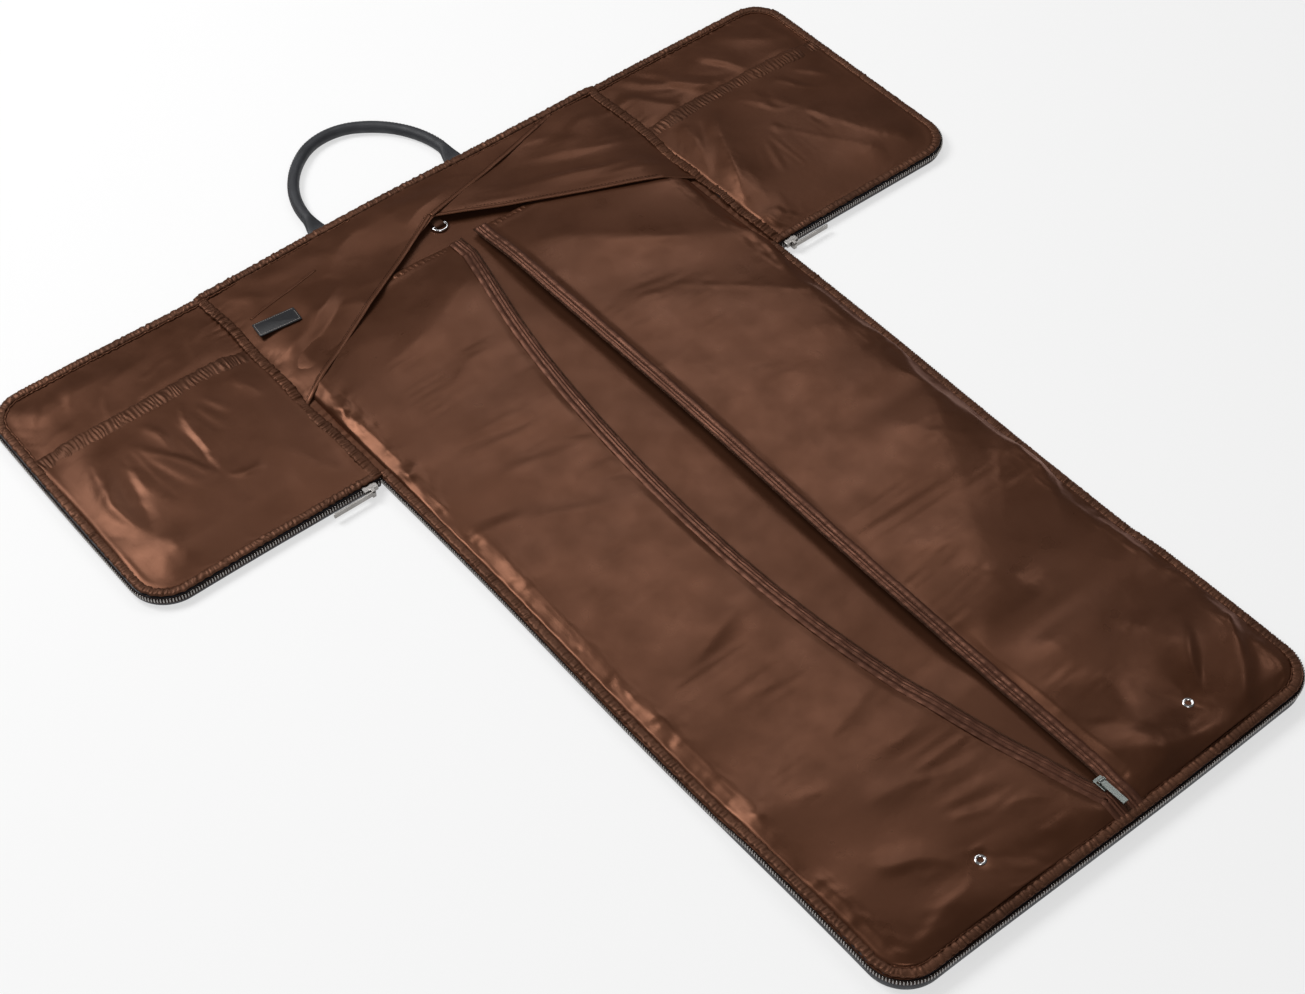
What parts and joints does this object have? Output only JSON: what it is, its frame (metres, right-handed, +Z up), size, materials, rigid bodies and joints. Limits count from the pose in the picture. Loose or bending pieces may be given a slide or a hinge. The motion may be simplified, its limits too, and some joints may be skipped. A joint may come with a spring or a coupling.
{
  "type": "garment bag",
  "caption": "Garment holdall opened out flat: back panel with carry handle, two pocketed end panels and a long panel with a zipped garment compartment.",
  "frame": {"origin": "middle of the opened bag's box, on the surface it lies on", "axes": "+X across the bag, +Y from the long panel to the back carry handle, +Z up out of the lining"},
  "size_m": [1.08, 1.27, 0.0308],
  "materials": {
    "shell_leather": "fine grained, satin",
    "label_leather": "smooth, with pale stitching",
    "foam": "closed-cell foam sheet",
    "stiffener_board": "matt",
    "binding_nylon": "ruched nylon tape",
    "lining_nylon": "satiny nylon",
    "main_zip_metal": "polished teeth",
    "main_slider_metal": "bright",
    "garment_zip_coil": "coil on woven tape",
    "garment_slider_metal": "satin",
    "chrome_hardware": "bright",
    "webbing": "woven",
    "elastic": "gathered"
  },
  "bodies": {
    "root": {"back_binding": "binding_nylon", "back_handle_tabs": "shell_leather", "back_lining": "lining_nylon", "back_padding": "foam", "back_shell": "shell_leather", "shoulder_flap_left": "lining_nylon", "shoulder_flap_right": "lining_nylon", "label_patch": "label_leather", "ring_tab": "webbing", "cover_left_neck": "lining_nylon", "cover_right_neck": "lining_nylon", "garment_zip_neck": "garment_zip_coil"},
    "left_end": {"left_end_shell": "shell_leather", "left_end_padding": "foam", "left_end_lining": "lining_nylon", "left_end_binding": "binding_nylon", "left_end_zip": "main_zip_metal", "left_end_pocket": "lining_nylon", "left_end_elastic": "elastic"},
    "right_end": {"right_end_shell": "shell_leather", "right_end_padding": "foam", "right_end_lining": "lining_nylon", "right_end_binding": "binding_nylon", "right_end_zip": "main_zip_metal", "right_end_pocket": "lining_nylon", "right_end_elastic": "elastic"},
    "left_slider": {"left_end_slider": "main_slider_metal"},
    "right_slider": {"right_end_slider": "main_slider_metal"},
    "left_pull": {"left_end_pull": "main_slider_metal"},
    "right_pull": {"right_end_pull": "main_slider_metal"},
    "base": {"base_binding": "binding_nylon", "base_board": "stiffener_board", "base_lining": "lining_nylon", "base_shell": "shell_leather", "base_side_zip": "main_zip_metal", "cover_left_base": "lining_nylon", "cover_right_base": "lining_nylon", "garment_zip_base": "garment_zip_coil"},
    "front": {"front_binding": "binding_nylon", "front_handle_tabs": "shell_leather", "front_lining": "lining_nylon", "front_padding": "foam", "front_shell": "shell_leather", "front_side_zip": "main_zip_metal", "cover_left_front": "lining_nylon", "cover_right_front": "lining_nylon", "garment_zip_front": "garment_zip_coil"},
    "top": {"top_binding": "binding_nylon", "top_lining": "lining_nylon", "top_shell": "shell_leather", "top_side_zip": "main_zip_metal", "cover_left_top": "lining_nylon", "cover_right_top": "lining_nylon", "garment_zip_top": "garment_zip_coil", "eyelets": "chrome_hardware"},
    "garment_slider": {"garment_slider": "garment_slider_metal"},
    "garment_pull": {"garment_pull": "garment_slider_metal"},
    "hanger_ring": {"hanger_ring": "chrome_hardware"},
    "back_handle": {"back_handle": "shell_leather"},
    "front_handle": {"front_handle": "shell_leather"}
  },
  "joints": [
    {"name": "left_end_fold", "type": "hinge", "parent": "root", "child": "left_end", "pos_m": [-0.27, 0.317, 0.022], "axis": [0, 1, 0], "range_deg": [0, 90]},
    {"name": "right_end_fold", "type": "hinge", "parent": "root", "child": "right_end", "pos_m": [0.27, 0.317, 0.022], "axis": [0, -1, 0], "range_deg": [0, 90]},
    {"name": "base_fold", "type": "hinge", "parent": "root", "child": "base", "pos_m": [0, 0.143, 0.026], "axis": [-1, 0, 0], "range_deg": [0, 90]},
    {"name": "front_fold", "type": "hinge", "parent": "base", "child": "front", "pos_m": [0, -0.107, 0.026], "axis": [-1, 0, 0], "range_deg": [0, 95]},
    {"name": "top_fold", "type": "hinge", "parent": "front", "child": "top", "pos_m": [0, -0.417, 0.026], "axis": [-1, 0, 0], "range_deg": [0, 82]},
    {"name": "back_handle_swing", "type": "hinge", "parent": "root", "child": "back_handle", "pos_m": [-0.012, 0.496, 0.0025], "axis": [1, 0, 0], "range_deg": [-90, 60]},
    {"name": "front_handle_swing", "type": "hinge", "parent": "front", "child": "front_handle", "pos_m": [-0.012, -0.417, 0.0025], "axis": [-1, 0, 0], "range_deg": [-90, 0]},
    {"name": "left_slider_slide", "type": "slide", "parent": "left_end", "child": "left_slider", "axis": [-1, 0, 0], "range_m": [0, 0.19]},
    {"name": "right_slider_slide", "type": "slide", "parent": "right_end", "child": "right_slider", "axis": [1, 0, 0], "range_m": [0, 0.19]},
    {"name": "left_pull_swing", "type": "hinge", "parent": "left_slider", "child": "left_pull", "pos_m": [-0.283, 0.1345, 0.0091], "axis": [0, 0, 1], "range_deg": [0, 90]},
    {"name": "right_pull_swing", "type": "hinge", "parent": "right_slider", "child": "right_pull", "pos_m": [0.283, 0.1345, 0.0091], "axis": [0, 0, -1], "range_deg": [0, 90]},
    {"name": "garment_slider_slide", "type": "slide", "parent": "top", "child": "garment_slider", "axis": [0, 1, 0], "range_m": [0, 0.13]},
    {"name": "garment_pull_swing", "type": "hinge", "parent": "garment_slider", "child": "garment_pull", "pos_m": [0.017, -0.588, 0.0289], "axis": [-1, 0, 0], "range_deg": [0, 150]},
    {"name": "hanger_ring_swing", "type": "hinge", "parent": "root", "child": "hanger_ring", "pos_m": [-0.003, 0.41, 0.0152], "axis": [-1, 0, 0], "range_deg": [0, 90]}
  ]
}
